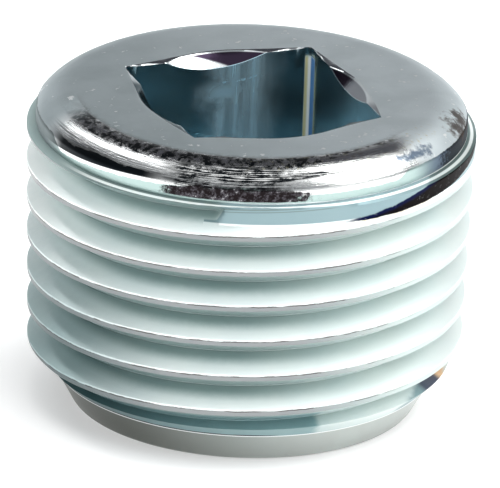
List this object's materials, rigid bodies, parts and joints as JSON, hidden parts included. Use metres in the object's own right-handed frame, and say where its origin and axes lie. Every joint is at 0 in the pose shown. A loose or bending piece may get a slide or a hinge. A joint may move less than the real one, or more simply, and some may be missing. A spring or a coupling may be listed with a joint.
{
  "type": "threaded pipe plug",
  "caption": "Headless plug with a taper pipe thread, a rounded crown and a blind square drive socket, which closes a tapped hole in an engine block.",
  "frame": {"origin": "centre of the flat foot, the small end that goes into the block first and that the plug stands on", "axes": "+Z along the plug's axis from the foot to the crown, where the drive socket opens; X and Y are square to the socket's flats"},
  "size_m": [0.0216, 0.0216, 0.0156],
  "materials": {
    "zinc_plate": "bright zinc plate on steel with a pale blue-green passivate, satin on the thread's flanks and glossy on the crown's shoulder"
  },
  "bodies": {
    "root": {"plug_body": "zinc_plate"}
  },
  "joints": []
}
